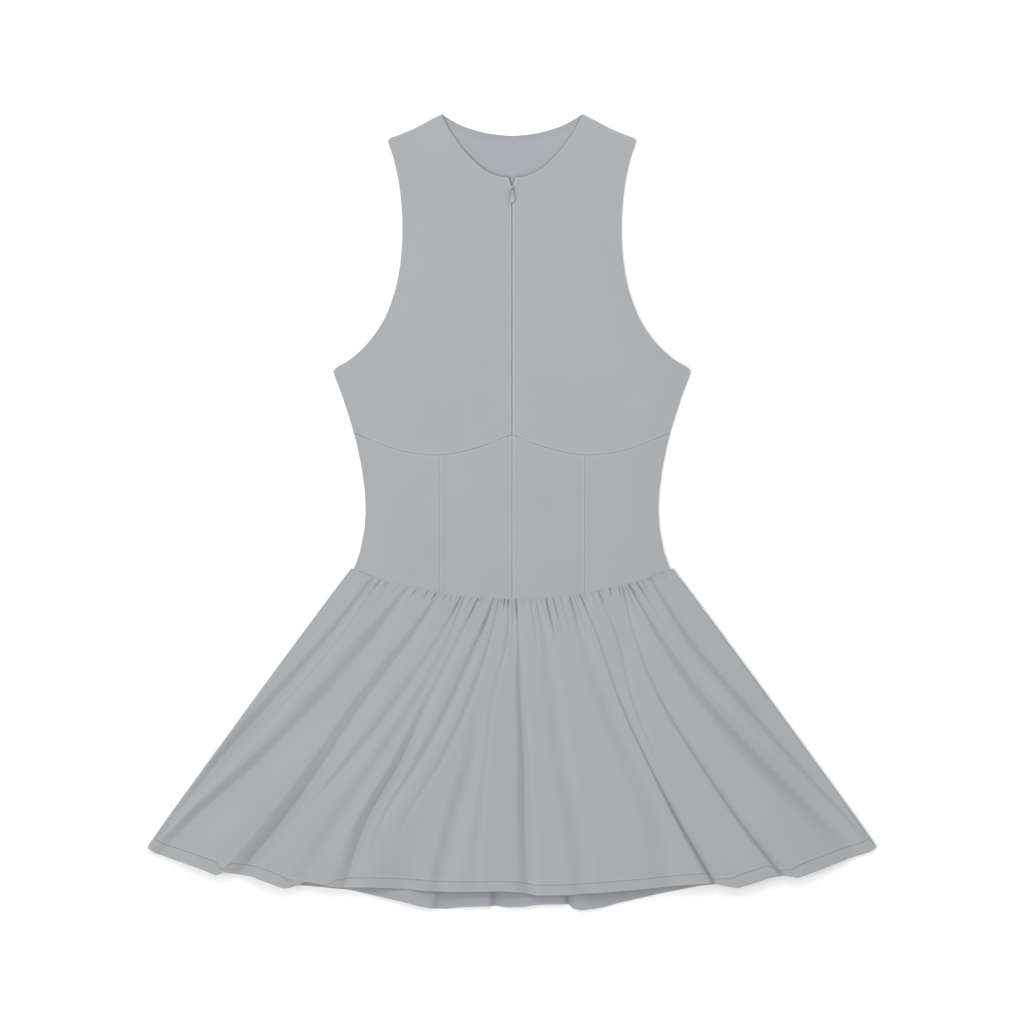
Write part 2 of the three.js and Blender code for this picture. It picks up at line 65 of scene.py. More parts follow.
def straightAt(rows, place, column=1):  # the value between a table's rows, on straight lines
    place, i = rowsAround(rows, place)
    before, after = rows[i - 1], rows[i]
    return mix(before[column], after[column], (place - before[0]) / (after[0] - before[0]))


def curveAt(rows, place, column=1):  # the same on a soft curve
    place, i = rowsAround(rows, place)
    last = len(rows) - 1

    def slope(k):
        before, after = rows[max(0, k - 1)], rows[min(last, k + 1)]
        return (after[column] - before[column]) / (after[0] - before[0])

    span = rows[i][0] - rows[i - 1][0]
    t = (place - rows[i - 1][0]) / span
    start = rows[i - 1][column] * (1 + 2 * t) * (1 - t) ** 2
    end = rows[i][column] * t * t * (3 - 2 * t)
    bends = slope(i - 1) * t * (1 - t) ** 2 - slope(i) * t * t * (1 - t)
    return start + end + bends * span


def measured(points):  # each point with the length of the line up to it
    rows = [(0.0, points[0])]
    for point in points[1:]:
        rows.append((rows[-1][0] + (point - rows[-1][1]).length, point))
    return rows


def pathThrough(rows, detail=14):  # a soft curve through (across, up) rows
    knots = [Vector((row[0], row[1], 0)) for row in rows]
    points = [knots[0]]
    for i in range(len(knots) - 1):
        before, after = knots[max(0, i - 1)], knots[min(len(knots) - 1, i + 2)]
        leaving = knots[i] + (knots[i + 1] - before) / 6
        arriving = knots[i + 1] - (after - knots[i]) / 6
        points += interpolate_bezier(knots[i], leaving, arriving, knots[i + 1], detail)[1:]
    return measured(points)


def pointAt(path, share):  # a point by its share of a path's length
    return straightAt(path, share * path[-1][0])


def steps(stops):  # shares from 0 to 1, from (place, step) rows whose steps change evenly
    places = [stops[0][0]]
    while places[-1] < stops[-1][0]:
        places.append(places[-1] + straightAt(stops, places[-1]))
    span = places[-1] - places[0]
    return [(place - places[0]) / span for place in places]


def even(count):
    return [i / count for i in range(count + 1)]


def waver(x, y, size, seed=0.0):  # soft unevenness from -1 to 1, with lumps of about that size
    return noise.noise(Vector((x / size, y / size, seed)))


# Materials

def hexColour(code):  # an sRGB hex code as linear red, green, blue and alpha
    values = [int(code[i:i + 2], 16) / 255 for i in (1, 3, 5)]
    return [v / 12.92 if v <= 0.04045 else ((v + 0.055) / 1.055) ** 2.4 for v in values] + [1]


def addNode(tree, kind, inputs, **settings):
    node = tree.nodes.new(kind)
    for name, value in settings.items():
        setattr(node, name, value)
    for name, value in inputs.items():
        if isinstance(value, bpy.types.NodeSocket):
            tree.links.new(value, node.inputs[name])
        else:
            node.inputs[name].default_value = value
    return node


def newMaterial(name):
    material = bpy.data.materials.new(name)
    material.use_nodes = True
    material.node_tree.nodes.clear()
    return material, material.node_tree


def twoTones(tree, factor, dark, light, places=(0.0, 1.0)):  # colour from one tone to another
    ramp = addNode(tree, "ShaderNodeValToRGB", {"Fac": factor})
    for stop, place, code in zip(ramp.color_ramp.elements, places, (dark, light)):
        stop.position = place
        stop.color = hexColour(code)
    return ramp.outputs["Color"]


def bumps(tree, height, strength, relief):  # relief is in millimetres
    bump = addNode(tree, "ShaderNodeBump", {
        "Height": height, "Strength": strength, "Distance": relief * mm})
    return bump.outputs["Normal"]


def endMaterial(material, look):
    shader = addNode(material.node_tree, "ShaderNodeBsdfPrincipled", look)
    addNode(material.node_tree, "ShaderNodeOutputMaterial", {"Surface": shader.outputs["BSDF"]})
    return material


bandTurn = math.pi / 10  # a wave texture's bands repeat at this coordinate

knit = {
    "walePitch": 2.4,  # the real wales stand 0.6 mm apart, too fine to show, so four are drawn as one
    "coursePitch": 2.0,
    "relief": 0.05,  # height of a wale
    "napSize": 1.6,  # brushed microfibre ends that blur the wales
    "toneSize": 70,
    "roughness": 0.88,
    "sheen": 0.12,
}


def doubleKnit(name, dark, light, paintedHighlight, paintedShade):
    # Double knit of matt nylon microfibre and elastane: a smooth, dense face with a dull bloom.
    # It gives the eye an even tone, a faint upright grain and a soft edge to every fold.
    material, tree = newMaterial(name)
    place = addNode(tree, "ShaderNodeAttribute", {}, attribute_name="flatPlace").outputs["Vector"]
    tones = addNode(tree, "ShaderNodeTexNoise", {
        "Vector": place, "Scale": 1 / knit["toneSize"], "Detail": 3.0, "Roughness": 0.55})
    plain = twoTones(tree, tones.outputs["Fac"], dark, light, places=(0.3, 0.7))
    # The third number of flatPlace is above 0 where a painted highlight lies behind a pressed edge,
    # and below 0 where painted shade lies along seams, stitched lines and edges.
    edge = addNode(tree, "ShaderNodeSeparateXYZ", {"Vector": place})
    # the factor of the painted shade colour
    turned = addNode(tree, "ShaderNodeMath", {0: edge.outputs["Z"], 1: -1.0}, operation="MULTIPLY")
    highlightedColour = addNode(tree, "ShaderNodeMixRGB", {
        "Fac": edge.outputs["Z"], "Color1": plain, "Color2": hexColour(paintedHighlight)})
    colour = addNode(tree, "ShaderNodeMixRGB", {
        "Fac": turned.outputs[0], "Color1": highlightedColour.outputs["Color"], "Color2": hexColour(paintedShade)})
    wales = addNode(tree, "ShaderNodeTexWave", {
        "Vector": place, "Scale": bandTurn / knit["walePitch"], "Distortion": 0.6,
        "Detail": 1.0, "Detail Scale": 0.5,
    }, bands_direction="X")
    courses = addNode(tree, "ShaderNodeTexWave", {
        "Vector": place, "Scale": bandTurn / knit["coursePitch"], "Distortion": 0.4,
    }, bands_direction="Y")
    loops = addNode(tree, "ShaderNodeMath", {
        0: wales.outputs["Fac"], 1: courses.outputs["Fac"]}, operation="MULTIPLY")
    nap = addNode(tree, "ShaderNodeTexNoise", {
        "Vector": place, "Scale": 1 / knit["napSize"], "Detail": 2.0})
    height = addNode(tree, "ShaderNodeMath", {
        0: loops.outputs[0], 1: nap.outputs["Fac"]}, operation="ADD")
    return endMaterial(material, {
        "Base Color": colour.outputs["Color"], "Roughness": knit["roughness"], "IOR": 1.5,
        "Specular IOR Level": 0.25, "Sheen Weight": knit["sheen"], "Sheen Roughness": 0.5,
        "Normal": bumps(tree, height.outputs[0], 0.6, knit["relief"])})


grain = {
    "threadTwist": 900, "coilStreak": 400, "castingPeel": 1500, "boardGrain": 60,  # lumps in a metre
    "tapeRib": 0.7,  # from rib to rib
}


def grainOf(tree, perMetre, detail):  # object coordinates are in metres
    place = addNode(tree, "ShaderNodeTexCoord", {}).outputs["Object"]
    lumps = addNode(tree, "ShaderNodeTexNoise", {"Vector": place, "Scale": perMetre, "Detail": detail})
    return lumps.outputs["Fac"]


def sewingThread():
    # Spun polyester thread: a slightly lighter, drier twist that catches the light on each stitch.
    material, tree = newMaterial("spunPolyesterThread")
    twist = grainOf(tree, grain["threadTwist"], 1.0)
    return endMaterial(material, {
        "Base Color": twoTones(tree, twist, "#b0b4b7", "#c4c8ca"), "Roughness": 0.7, "IOR": 1.5,
        "Normal": bumps(tree, twist, 0.4, 0.05)})


def zipMonofilament():
    # Extruded nylon monofilament, dyed darker than the cloth and darkened further as painted shade for the
    # zip's opening, with a slightly waxy shine.
    material, tree = newMaterial("nylonCoilDarkenedForShade")
    streaks = grainOf(tree, grain["coilStreak"], 2.0)
    return endMaterial(material, {
        "Base Color": twoTones(tree, streaks, "#2c2f33", "#3e4246"), "Roughness": 0.42, "IOR": 1.53})


def zipTapeCloth():
    # Woven polyester tape: a flat twill whose fine ribs run along the zip.
    material, tree = newMaterial("wovenPolyesterTape")
    place = addNode(tree, "ShaderNodeAttribute", {}, attribute_name="flatPlace").outputs["Vector"]
    ribs = addNode(tree, "ShaderNodeTexWave", {
        "Vector": place, "Scale": bandTurn / grain["tapeRib"], "Distortion": 0.3,
    }, bands_direction="X").outputs["Fac"]
    return endMaterial(material, {
        "Base Color": twoTones(tree, ribs, "#6f7479", "#83888c"), "Roughness": 0.8, "IOR": 1.5,
        "Normal": bumps(tree, ribs, 0.5, 0.06)})


def lacqueredZinc():
    # Die-cast zinc sprayed with lacquer in the cloth's colour: an even satin skin with faint orange peel.
    material, tree = newMaterial("lacqueredZincCasting")
    peel = grainOf(tree, grain["castingPeel"], 2.0)
    return endMaterial(material, {
        "Base Color": twoTones(tree, peel, "#8f9397", "#9b9fa2"), "Roughness": 0.38, "IOR": 1.5,
        "Coat Weight": 0.3, "Coat Roughness": 0.2, "Normal": bumps(tree, peel, 0.3, 0.03)})


def floorPaint():
    # Matt white painted board: a plain pale ground that gives the eye nothing but the dress's shadow.
    material, tree = newMaterial("mattWhitePaint")
    brushed = grainOf(tree, grain["boardGrain"], 3.0)
    return endMaterial(material, {
        "Base Color": twoTones(tree, brushed, "#fdfdfd", "#ffffff"), "Roughness": 0.95,
        "Specular IOR Level": 0.0})


# The last two colours are the painted highlight and the painted shade.
faceKnit = doubleKnit("nylonElastaneDoubleKnitFace", "#9ca0a3", "#9ea2a5", "#afb3b6", "#74777a")
backKnit = doubleKnit("nylonElastaneDoubleKnitBack", "#9a9ea2", "#9ca0a4", "#afb3b6", "#74777a")
thread = sewingThread()
monofilament = zipMonofilament()
tapeCloth = zipTapeCloth()
zinc = lacqueredZinc()
print("materials ready")


# Making pieces

def addObject(name, bm, material):
    mesh = bpy.data.meshes.new(name)
    bm.to_mesh(mesh)
    bm.free()
    mesh.materials.append(material)
    thing = bpy.data.objects.new(name, mesh)
    bpy.context.scene.collection.objects.link(thing)
    return thing


def addPiece(name, bm, material, body="dress", nodes=()):
    piece = addObject(name, bm, material)
    piece.data.polygons.foreach_set("use_smooth", [True] * len(piece.data.polygons))
    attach(piece, body)
    if nodes:
        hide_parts(*nodes)
    return piece


def addThickness(bm, place):  # gives an open skin its second face, and returns the rim's edges
    first = bm.verts[:]
    firstFaces = set(bm.faces)
    second = bmesh.ops.extrude_face_region(bm, geom=bm.faces[:])["geom"]
    for vert in first:
        vert.co = place(vert)
    secondFaces = {part for part in second if isinstance(part, bmesh.types.BMFace)}
    rim = set(bm.faces) - firstFaces - secondFaces
    edges = {edge for face in rim for edge in face.edges}
    bmesh.ops.recalc_face_normals(bm, faces=bm.faces[:])
    return [edge for edge in edges if any(face not in rim for face in edge.link_faces)]


def roundEdges(bm, edges, width, segments=2):
    bmesh.ops.bevel(bm, geom=edges, offset=width * mm, offset_type="OFFSET", segments=segments,
                    profile=0.5, affect="EDGES", material=-1, clamp_overlap=True)


rimRound = 0.1  # how far a cloth's edges are rounded


def clothPiece(name, rows, material, nodes):
    # rows run from the top to the hem; a point is (x, y, outer face, inner face, flat x, flat y, tone),
    # where tone is painted highlight above 0 and painted shade below 0
    rowCount, columnCount = len(rows), len(rows[0])
    bm = bmesh.new()
    flatPlace = bm.verts.layers.float_vector.new("flatPlace")
    bmesh.ops.create_grid(bm, x_segments=columnCount - 1, y_segments=rowCount - 1, size=0.5)
    innerFace = {}
    for vert in bm.verts:
        column = round((vert.co.x + 0.5) * (columnCount - 1))
        row = round((0.5 - vert.co.y) * (rowCount - 1))
        x, y, outer, inner, *flat = rows[row][column]
        vert.co = Vector((x, y, outer)) * mm
        vert[flatPlace] = flat
        innerFace[vert] = inner * mm
    rim = addThickness(bm, lambda vert: Vector((vert.co.x, vert.co.y, innerFace[vert])))
    roundEdges(bm, rim, rimRound)
    return addPiece(name, bm, material, nodes=nodes)


def stitchRow(name, points, row):  # beads of thread along a line on the cloth
    path = measured(points)
    length, width, height = row["stitch"]
    bm = bmesh.new()
    for i in range(int(path[-1][0] / row["pitch"])):
        middle = (i + 0.5) * row["pitch"]
        place = straightAt(path, middle)
        along = (straightAt(path, middle + 0.5) - straightAt(path, middle - 0.5)).normalized()
        side = up.cross(along).normalized()
        axes = Matrix((along * length / 2, side * width / 2, along.cross(side) * height / 2))
        matrix = Matrix.Translation(place * mm) @ (axes.transposed() * mm).to_4x4()
        bmesh.ops.create_icosphere(bm, subdivisions=1, radius=1, matrix=matrix)
    return addPiece(name, bm, thread)


# The cut: outlines given as half of the dress, (across from the centre line, up)

cut = {
    "thickness": 1.0,
    "thinnest": 0.45,  # what is left of it under a rolled edge or a line of stitches
    "layGap": 0.3,  # between cloths that lie on each other
    "seamGap": 0.06,  # between pieces that a seam draws together
    "gatherGap": 0.02,  # between the midriff and the gathered skirt
    "fullness": 2.2,  # how far the front rises over the back
    "fullnessRun": 30,  # from the side seam to the full rise
    "fullnessEndsFrom": 300,
    "fullnessEndsOver": 100,
    "panelSeam": 76.7,  # between the centre and side panels of the midriff
}
halfGap = cut["seamGap"] / 2
gatherHalfGap = cut["gatherGap"] / 2
frontRest = cut["thickness"] + cut["layGap"]  # the lowest that the front's inner face lies

zipSizes = {
    "topHeight": 353, "topHalf": 3.4,  # half of the parting at the neckline
    "half": 0.15,  # half of the parting below the slider
    "partingHeight": 344.6, "notchFoot": 337, "notchHalf": 0.95, "notchSlope": 2,
    "lift": 1.5, "liftRun": 12, "liftCrest": 5,  # how the front's edges lie on the coil
    "toothPitch": 1.2, "tooth": (0.62, 2.0, 0.9), "toothSlant": 0.2, "toothSunk": 0.1,
    "tapeWidth": 9, "tapeThickness": 0.35, "tapeColumns": 6,
    "tapeLift": 0.1,  # above the lowest place of the front
    "tapeFromEdge": 0.35,  # from the coil's near side to the tape's
    "belowNeckline": 0.6, "aboveSeam": 1,  # where tapes and coils end
}

backNeckline = [(0, 396.7), (20, 398.5), (38, 402.5), (54, 408), (66, 414.5), (74, 419.6)]
frontNeckline = [(3.4, 353), (15, 355), (28, 361), (40, 371), (52, 384), (64, 401), (74, 419.6)]
shoulder = [(74, 419.6), (88, 412.5), (105, 403.5), (122, 396.7), (128.3, 394.3), (130.9, 391.4)]
armholeUpper = [(130.9, 391.4), (129, 385.5), (124.2, 371), (118.5, 343), (115.6, 312)]
armholeLower = [(115.6, 312), (115.7, 285), (118.3, 258), (124.1, 231), (135, 203), (151, 179.5),
                (169.3, 162), (184.5, 152.8), (188.3, 148.4)]
sideSeam = [(188.3, 148.4), (186.6, 143), (179, 123), (170.7, 97.5), (163.6, 72.5), (158.4, 47),
            (155, 22), (154.2, 3), (155.2, -16), (160, -41.5), (166.5, -59.5)]
underBustSeam = [(0, 81), (8, 79), (23, 72.5), (43.5, 66), (64, 61.5), (76.7, 60.3), (95, 61),
                 (120, 65.5), (146, 75), (168, 84)]
skirtSeam = [(0, -91), (20, -91), (40, -89.5), (60, -87), (76.7, -84.5), (97, -80.5),
             (117, -76.5), (141, -70), (160, -63), (169, -59.5)]
outline = [(row[1], row[0]) for row in armholeUpper + armholeLower[1:] + sideSeam[1:]][::-1]


def underBustAt(across):
    return curveAt(underBustSeam, across)


def skirtSeamAt(across):
    return curveAt(skirtSeam, abs(across))


def halfWidthAt(height):
    return straightAt(outline, height)


def frontInner(x, y):  # the front's inner face rises from the side seams and lies on the zip
    fading = 1 - smooth((y - cut["fullnessEndsFrom"]) / cut["fullnessEndsOver"])
    fullness = cut["fullness"] * smooth((halfWidthAt(y) - abs(x)) / cut["fullnessRun"]) * fading
    crest = smooth((abs(x) - zipSizes["liftCrest"]) / zipSizes["liftRun"])
    onZip = zipSizes["lift"] * (1 - crest) if y > 0 else 0
    return frontRest + max(fullness, onZip)


def partingAt(y):  # half of the opening between the front's edges
    notched = smooth((y - zipSizes["notchFoot"]) / zipSizes["notchSlope"])
    notch = (zipSizes["notchHalf"] - zipSizes["half"]) * notched
    opened = (y - zipSizes["partingHeight"]) / (zipSizes["topHeight"] - zipSizes["partingHeight"])
    return zipSizes["half"] + notch + (zipSizes["topHalf"] - zipSizes["notchHalf"]) * max(0.0, opened)


panels = {
    "softness": 0.18,  # unevenness of a panel that lies on another
    "softSize": 55,
    # how far each kind of edge rolls in, how deep, and the strength of the painted highlight on its crest
    # and of the painted shade on its line
    "turned": (1.0, 0.14, 0, 0.12),
    "neck": (1.1, 0.3, 0.1, 0.95),
    "zipped": (1.2, 0.75, 0.6, 0),
    "sewn": (1.2, 0.26, 0.25, 0.1),
    "channelled": (0.8, 0.16, 0.2, 0),
    "gathered": (0.3, 0, 0, 0),
    # where the painted highlight behind an edge rises, how wide it is and how fast it fades
    "highlightRise": 0.5, "highlightWidth": 0.7, "highlightFades": 0.6,
    "seamWaver": 0.9, "seamWaverSize": 16,
    "channelWidth": 5.2,  # the boning channel beside the seam between centre and side panel
    "channelRise": 0.25,
    "channelSlope": 0.9,
    "channelGroove": 0.3, "channelGrooveHalf": 0.65,
}


def edgeTone(fromEdge, roll):  # painted highlight on the crest behind a rolled edge, painted shade on its line
    reach, _, paintedHighlight, paintedShade = roll
    rising = smooth((fromEdge - reach + panels["highlightRise"]) / panels["highlightRise"])
    falling = 1 - smooth((fromEdge - reach - panels["highlightWidth"]) / panels["highlightFades"])
    return paintedHighlight * rising * falling - paintedShade * (1 - smooth(fromEdge / reach))


def patchAt(edges, topEnds, bottomEnds, s, v):
    # A point s of the way across a panel and v of the way down, from the points level with it on its
    # four edges and from its corners
    centre, outer, top, bottom = edges
    corners = topEnds[0].lerp(topEnds[1], s).lerp(bottomEnds[0].lerp(bottomEnds[1], s), v)
    return centre.lerp(outer, s) + top.lerp(bottom, v) - corners


def panelRows(side, centre, outer, topPath, bottomPath, columns, rollsAt, riseAt=lambda x: 0):
    # rollsAt gives each row its rolls at the centre, outer, top and bottom edge
    downShares = [row[0] for row in measured(centre)]
    top = [pointAt(topPath, share) for share in columns]
    bottom = [pointAt(bottomPath, share) for share in columns]
    rows = []
    for r, centrePoint in enumerate(centre):
        v = downShares[r] / downShares[-1]
        row = []
        for c, s in enumerate(columns):
            edges = (centrePoint, outer[r], top[c], bottom[c])
            point = patchAt(edges, (top[0], top[-1]), (bottom[0], bottom[-1]), s, v)
            uneven = 1 + panels["seamWaver"] * waver(point.x, point.y, panels["seamWaverSize"], side)
            away = [((point - edge).length, roll) for edge, roll in zip(edges, rollsAt(r))]
            sink = max(roll[1] * uneven * (1 - smooth(fromEdge / roll[0])) for fromEdge, roll in away)
            tone = max((edgeTone(*pair) for pair in away), key=abs)
            inner = frontInner(point.x, point.y)
            x = side * point.x
            soft = panels["softness"] * waver(x, point.y, panels["softSize"], 3)
            soft *= min(1.0, inner - frontRest)
            outerFace = inner + cut["thickness"] + riseAt(point.x) + soft - sink
            row.append((x, point.y, outerFace, inner + soft, x, point.y, tone))
        rows.append(row)
    return rows


bodice = {
    "underarmRow": 180,  # height on the zip of the row that ends at the underarm
    "hemEnd": (167.4, 84.1),  # where the under-bust seam meets the side seam
}


def bodiceFront(side, word):
    neck = pathThrough(frontNeckline[::-1])
    zipHeights = [zipSizes["topHeight"], 349, 346, zipSizes["partingHeight"], 343, 341, 339, 338.2, 337.5,
                  zipSizes["notchFoot"], 336, 330, 300, 250, 200, 150, 110, 90, underBustAt(0) + halfGap]
    zipPath = measured([Vector((partingAt(y), y, 0)) for y in zipHeights])
    hem = pathThrough([(halfGap, underBustAt(0) + halfGap)]
                      + [(x, y + halfGap) for x, y in underBustSeam[1:-1]] + [bodice["hemEnd"]])
    upperArm, lowerArm, sideEdge = (pathThrough(rows) for rows in (armholeUpper, armholeLower, sideSeam))
    sideEnd = next(i for i, (_, p) in enumerate(sideEdge) if p.y < underBustAt(p.x) + halfGap)
    sideEdge = sideEdge[:sideEnd] + [(sideEdge[sideEnd][0], hem[-1][1])]
    lower = (bodice["underarmRow"] - zipHeights[-1]) / (zipHeights[0] - zipHeights[-1])
    chest = 1 - lower
    neckSteps = steps([(0, 0.6), (5, 2.4), (85, 2.4)])
    chestSteps = steps([(0, 1.0), (18, 1.0), (30, 2.8), (173, 2.8)])[1:]
    lowerSteps = steps([(0, 2.6), (92, 2.4), (97, 0.5), (99, 0.5)])[1:]
    centre = ([pointAt(neck, s) for s in neckSteps] + [pointAt(zipPath, s * chest) for s in chestSteps]
              + [pointAt(zipPath, chest + s * lower) for s in lowerSteps])
    outer = ([pointAt(upperArm, s) for s in neckSteps] + [pointAt(lowerArm, s) for s in chestSteps]
             + [pointAt(sideEdge, s) for s in lowerSteps])
    columns = steps([(0, 0.5), (3, 0.5), (10, 2.6), (178, 2.6), (184, 0.9), (188, 0.7)])
    others = (panels["turned"], panels["sewn"], panels["sewn"])
    rows = panelRows(side, centre, outer, pathThrough(shoulder), hem, columns,
                     lambda r: (panels["neck" if r < len(neckSteps) else "zipped"], *others))
    return clothPiece(f"bodiceFront{word}", rows, faceKnit,
                      [f"bodice_front_{word.lower()}"])


def midriffPanel(name, node, side, centreAt, outerAt, columns, rolls, riseAt=lambda x: 0):
    down = steps([(0, 0.5), (2.5, 0.5), (8, 2.6), (160, 2.6), (168, 0.5)])

    def edgeDown(lineAt):  # where an edge meets the two seams, and its points between them
        top = bottom = lineAt(0)
        for _ in range(3):
            top, bottom = lineAt(underBustAt(top)), lineAt(skirtSeamAt(bottom))
        topHeight, bottomHeight = underBustAt(top) - halfGap, skirtSeamAt(bottom) + gatherHalfGap
        heights = [mix(topHeight, bottomHeight, s) for s in down]
        return top, bottom, [Vector((lineAt(y), y, 0)) for y in heights]

    topFrom, bottomFrom, centre = edgeDown(centreAt)
    topTo, bottomTo, outer = edgeDown(outerAt)
    across = [(mix(topFrom, topTo, s), mix(bottomFrom, bottomTo, s)) for s in even(40)]
    topPath = measured([Vector((x, underBustAt(x) - halfGap, 0)) for x, _ in across])
    bottomPath = measured([Vector((x, skirtSeamAt(x) + gatherHalfGap, 0)) for _, x in across])
    rows = panelRows(side, centre, outer, topPath, bottomPath, columns, lambda r: rolls, riseAt)
    return clothPiece(name, rows, faceKnit, [node])


channelFoot = cut["panelSeam"] - halfGap - panels["channelWidth"]


def channelRiseAt(x):  # the channel, with the line that its stitches press into the cloth
    groove = 1 - smooth(abs(x - channelFoot) / panels["channelGrooveHalf"])
    return (panels["channelRise"] * smooth((x - channelFoot) / panels["channelSlope"])
            - panels["channelGroove"] * groove)


def midriffCentre(side, word):
    nearSeam = cut["panelSeam"] - halfGap
    columns = steps([(halfGap, 0.5), (2.5, 0.5), (8, 2.6), (66, 2.6), (channelFoot - 1.5, 0.35),
                     (nearSeam, 0.4)])
    rolls = (panels["sewn"], panels["channelled"], panels["sewn"], panels["gathered"])
    return midriffPanel(f"midriffCentre{word}", f"midriff_centre_{word.lower()}", side,
                        lambda y: halfGap, lambda y: nearSeam, columns, rolls, channelRiseAt)


def midriffSide(side, word):
    columns = steps([(0, 0.4), (2, 0.4), (8, 2.6), (82, 2.6), (88, 0.8)])
    rolls = (panels["channelled"], panels["turned"], panels["sewn"], panels["gathered"])
    return midriffPanel(f"midriffSide{word}", f"midriff_side_{word.lower()}", side,
                        lambda y: cut["panelSeam"] + halfGap, halfWidthAt, columns, rolls)


channelThread = {
    "fromFoot": 0.95,  # from the channel's foot to its row of stitches
    "fromSeam": 1.5,  # from the row's ends to the seams above and below
    "pitch": 3.0, "stitch": (2.3, 0.5, 0.34),  # length, width and height
}


def channelStitches(side, word):
    x = channelFoot + channelThread["fromFoot"]
    topHeight = underBustAt(x) - channelThread["fromSeam"]
    bottomHeight = skirtSeamAt(x) + channelThread["fromSeam"]
    points = []
    for share in even(60):
        y = mix(topHeight, bottomHeight, share)
        outer = frontInner(x, y) + cut["thickness"] + channelRiseAt(x)
        points.append(Vector((side * x, y, outer)))
    return stitchRow(f"channelStitches{word}", points, channelThread)


backNeck = {
    "band": 5.2, "bandRise": 0.22, "bandSlope": 0.8, "roll": (13, 0.8), "edgeRoll": (1.4, 0.3),
    "paintedShade": ((1.3, 0.5), (14, 0.09)),  # painted shade near the neck edge: reach from the edge and strength
    # painted shade line along the band's foot: reach and strength
    "bandShadeLine": (0.8, 0.12),
}


def bodiceBack():
    topPath = measured([p for _, p in pathThrough(backNeckline)]
                       + [p for _, p in pathThrough(shoulder)][1:])
    down = steps([(0, 0.8), (12, 0.8), (30, 4), (470, 4), (488, 3)])
    outerPath = measured([p for rows in (armholeUpper, armholeLower, sideSeam)
                          for _, p in pathThrough(rows)])
    outer = [pointAt(outerPath, s) for s in down]
    bottomHalf = sideSeam[-1][0]
    bottomPath = measured([Vector((bottomHalf * s, skirtSeamAt(bottomHalf * s) + halfGap, 0))
                           for s in even(40)])
    columns = steps([(0, 3.2), (128, 3.2), (150, 1.4)])
    columns = [-s for s in columns[::-1]] + columns[1:]
    rows = []
    for r, v in enumerate(down):
        row = []
        for s in columns:
            share = abs(s)
            top, bottom = pointAt(topPath, share), pointAt(bottomPath, share)
            edges = (topPath[0][1].lerp(bottomPath[0][1], v), outer[r], top, bottom)
            topEnds, bottomEnds = ((path[0][1], path[-1][1]) for path in (topPath, bottomPath))
            point = patchAt(edges, topEnds, bottomEnds, share, v)
            fromNeck = (point - top).length
            sink = sum(depth * (1 - smooth(fromNeck / reach))
                       for reach, depth in (backNeck["roll"], backNeck["edgeRoll"]))
            band = backNeck["bandRise"] * (1 - smooth((fromNeck - backNeck["band"]) / backNeck["bandSlope"]))
            x = math.copysign(point.x, s)
            outerFace = max(cut["thinnest"], cut["thickness"] + band - sink)
            # Painted shade: darker towards the neck edge and along the band's line.
            tone = -sum(drawn * (1 - smooth(fromNeck / reach)) for reach, drawn in backNeck["paintedShade"])
            lineReach, lineShade = backNeck["bandShadeLine"]
            tone -= lineShade * (1 - smooth(abs(fromNeck - backNeck["band"]) / lineReach))
            row.append((x, point.y, outerFace, 0.0, x, point.y, tone))
        rows.append(row)
    return clothPiece("bodiceBack", rows, backKnit, ["bodice_back"])


# The skirt

skirt = {
    "topHalf": 169, "hemHalf": 384.3, "sideTop": -59.5, "hemSide": -352.7, "length": 310,
    "stations": (-135, -199, -262, -325),  # heights between seam and hem at which the folds are placed
    "edgeRound": (30, 85),  # how far from the side edge the front is fully risen, at the seam and the hem
    # how high its fold stands at the edge itself, at the seam and at the right and left end of the hem
    "seamStand": 0.3, "hemStand": (7, 2.6),
    "edgeWall": 1.6, "edgeShade": 0.35,  # width of that steep edge, and the strength of the painted shade along it
    "columnPitch": 3.35,
    "flatTop": 500, "flatHem": 840,  # the cut width, before it was gathered to the seam
    "foldOpens": 0.3, "foldStarts": 0.34,  # a fold starts narrow and is open after this share of its way
    "foldBlend": 4,  # how closely folds that overlap keep to the deeper one
    "foldGrows": 7, "gatherGrows": 2,  # how far below the seam folds and gathers have their depth
    "gatherHalf": 1.2, "gatherSharpness": 1.3, "gatherDepth": 2.8, "gatherLength": 1.4,
    "gatherEnds": 6,  # from the side edge to the first full gather
    "hemGroove": 0.6, "hemGrooveHalf": 0.75, "hemLineShade": 0.45,  # the stitched line above the hem, with painted shade along it
    # the hem's rolled edge, and the strength of the painted shade along its bottom edge
    "hemRoll": (0.9, 0.5), "hemEdgeShade": 1,
    "hemHighlight": (2.2, 0.6),  # how far up and how strong the painted highlight on the hem's fold is
    "hemBand": 0.15, "hemBandSlope": 1.5, "hemPucker": 0.12, "puckerPitch": 6.5,
    "softness": 0.3, "softSize": 42, "softGrows": 25,
    "softDown": 0.35,  # the unevenness changes this much slower down the skirt than across it
}

# (across, up) of the front's hem, from the wearer's right to their left
frontHem = [
    (-384.3, -352.7), (-375, -359.3), (-324.5, -375.9), (-311, -381.6), (-302.5, -378.4),
    (-287, -381.5), (-274, -382.9), (-240, -395.4), (-233, -394.6), (-217, -389), (-181, -395.4),
    (-152, -394.5), (-120, -396.5), (-80, -399.5), (-30, -399), (-12, -398.5), (6, -399.5),
    (25, -403), (58.5, -402.6), (118.5, -398.2), (171.5, -393.2), (208, -390.2), (237, -394.9),
    (258, -388.4), (272.5, -382.8), (288, -382.3), (300, -384.3), (317, -378.1), (351, -365.5),
    (376, -358.2), (384.3, -352.7),
]
# (across, height of the stitched band): the band rolls out of sight where the hem turns under
hemBand = [
    (-384, 10.5), (-311, 11), (-302, 4), (-297, 9), (-287, 10.5), (-245, 11), (-232, 8), (-220, 1),
    (-196, 0.5), (-184, 8), (-170, 11), (207, 11), (212, 5), (222, 8), (237, 11), (272, 10.5),
    (281, 4.5), (291, 8), (304, 10.5), (384, 10.5),
]
